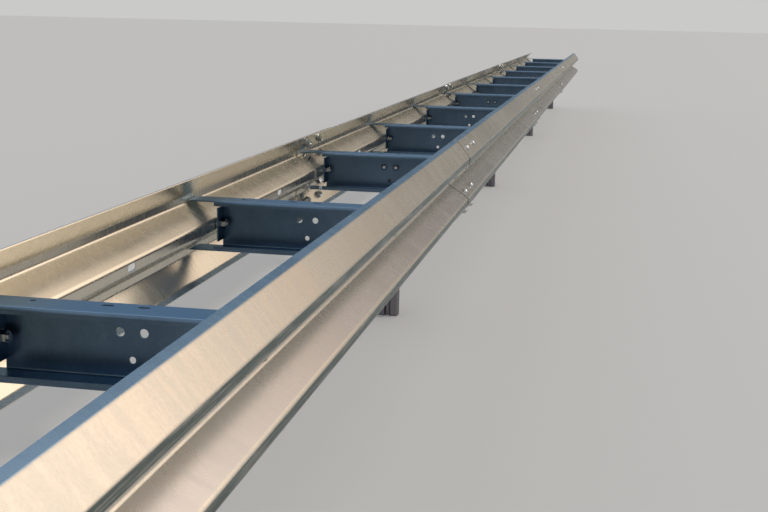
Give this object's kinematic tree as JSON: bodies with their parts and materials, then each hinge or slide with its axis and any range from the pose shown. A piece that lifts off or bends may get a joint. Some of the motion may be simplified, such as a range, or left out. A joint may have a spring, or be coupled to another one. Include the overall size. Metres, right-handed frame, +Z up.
{
  "type": "double-sided highway guardrail section",
  "caption": "Double-sided steel median guardrail: corrugated rails on both sides, joined by channel cross spacers on a row of sigma posts.",
  "frame": {"origin": "middle of the first post's web groove, on the post's flat bottom face at ground level", "axes": "+Z up, +Y along the road from the first post to the last, +X across the barrier towards the near rail"},
  "size_m": [0.6888, 16.3, 0.7532],
  "materials": {
    "rail": "galvanised sheet, weathered to a satin grey",
    "spacer": "galvanised channel, dull",
    "post": "galvanised, dull"
  },
  "bodies": {
    "root": {"near_rail_1": "rail", "near_rail_2": "rail", "near_rail_3": "rail", "near_rail_4": "rail", "far_rail_1": "rail", "far_rail_2": "rail", "far_rail_3": "rail", "far_rail_4": "rail", "spacer_01": "spacer", "spacer_02": "spacer", "spacer_03": "spacer", "spacer_04": "spacer", "spacer_05": "spacer", "spacer_06": "spacer", "spacer_07": "spacer", "spacer_08": "spacer", "spacer_09": "spacer", "spacer_10": "spacer", "spacer_11": "spacer", "spacer_12": "spacer", "spacer_13": "spacer", "post_1": "post", "post_2": "post", "post_3": "post", "post_4": "post", "post_5": "post"}
  },
  "joints": []
}
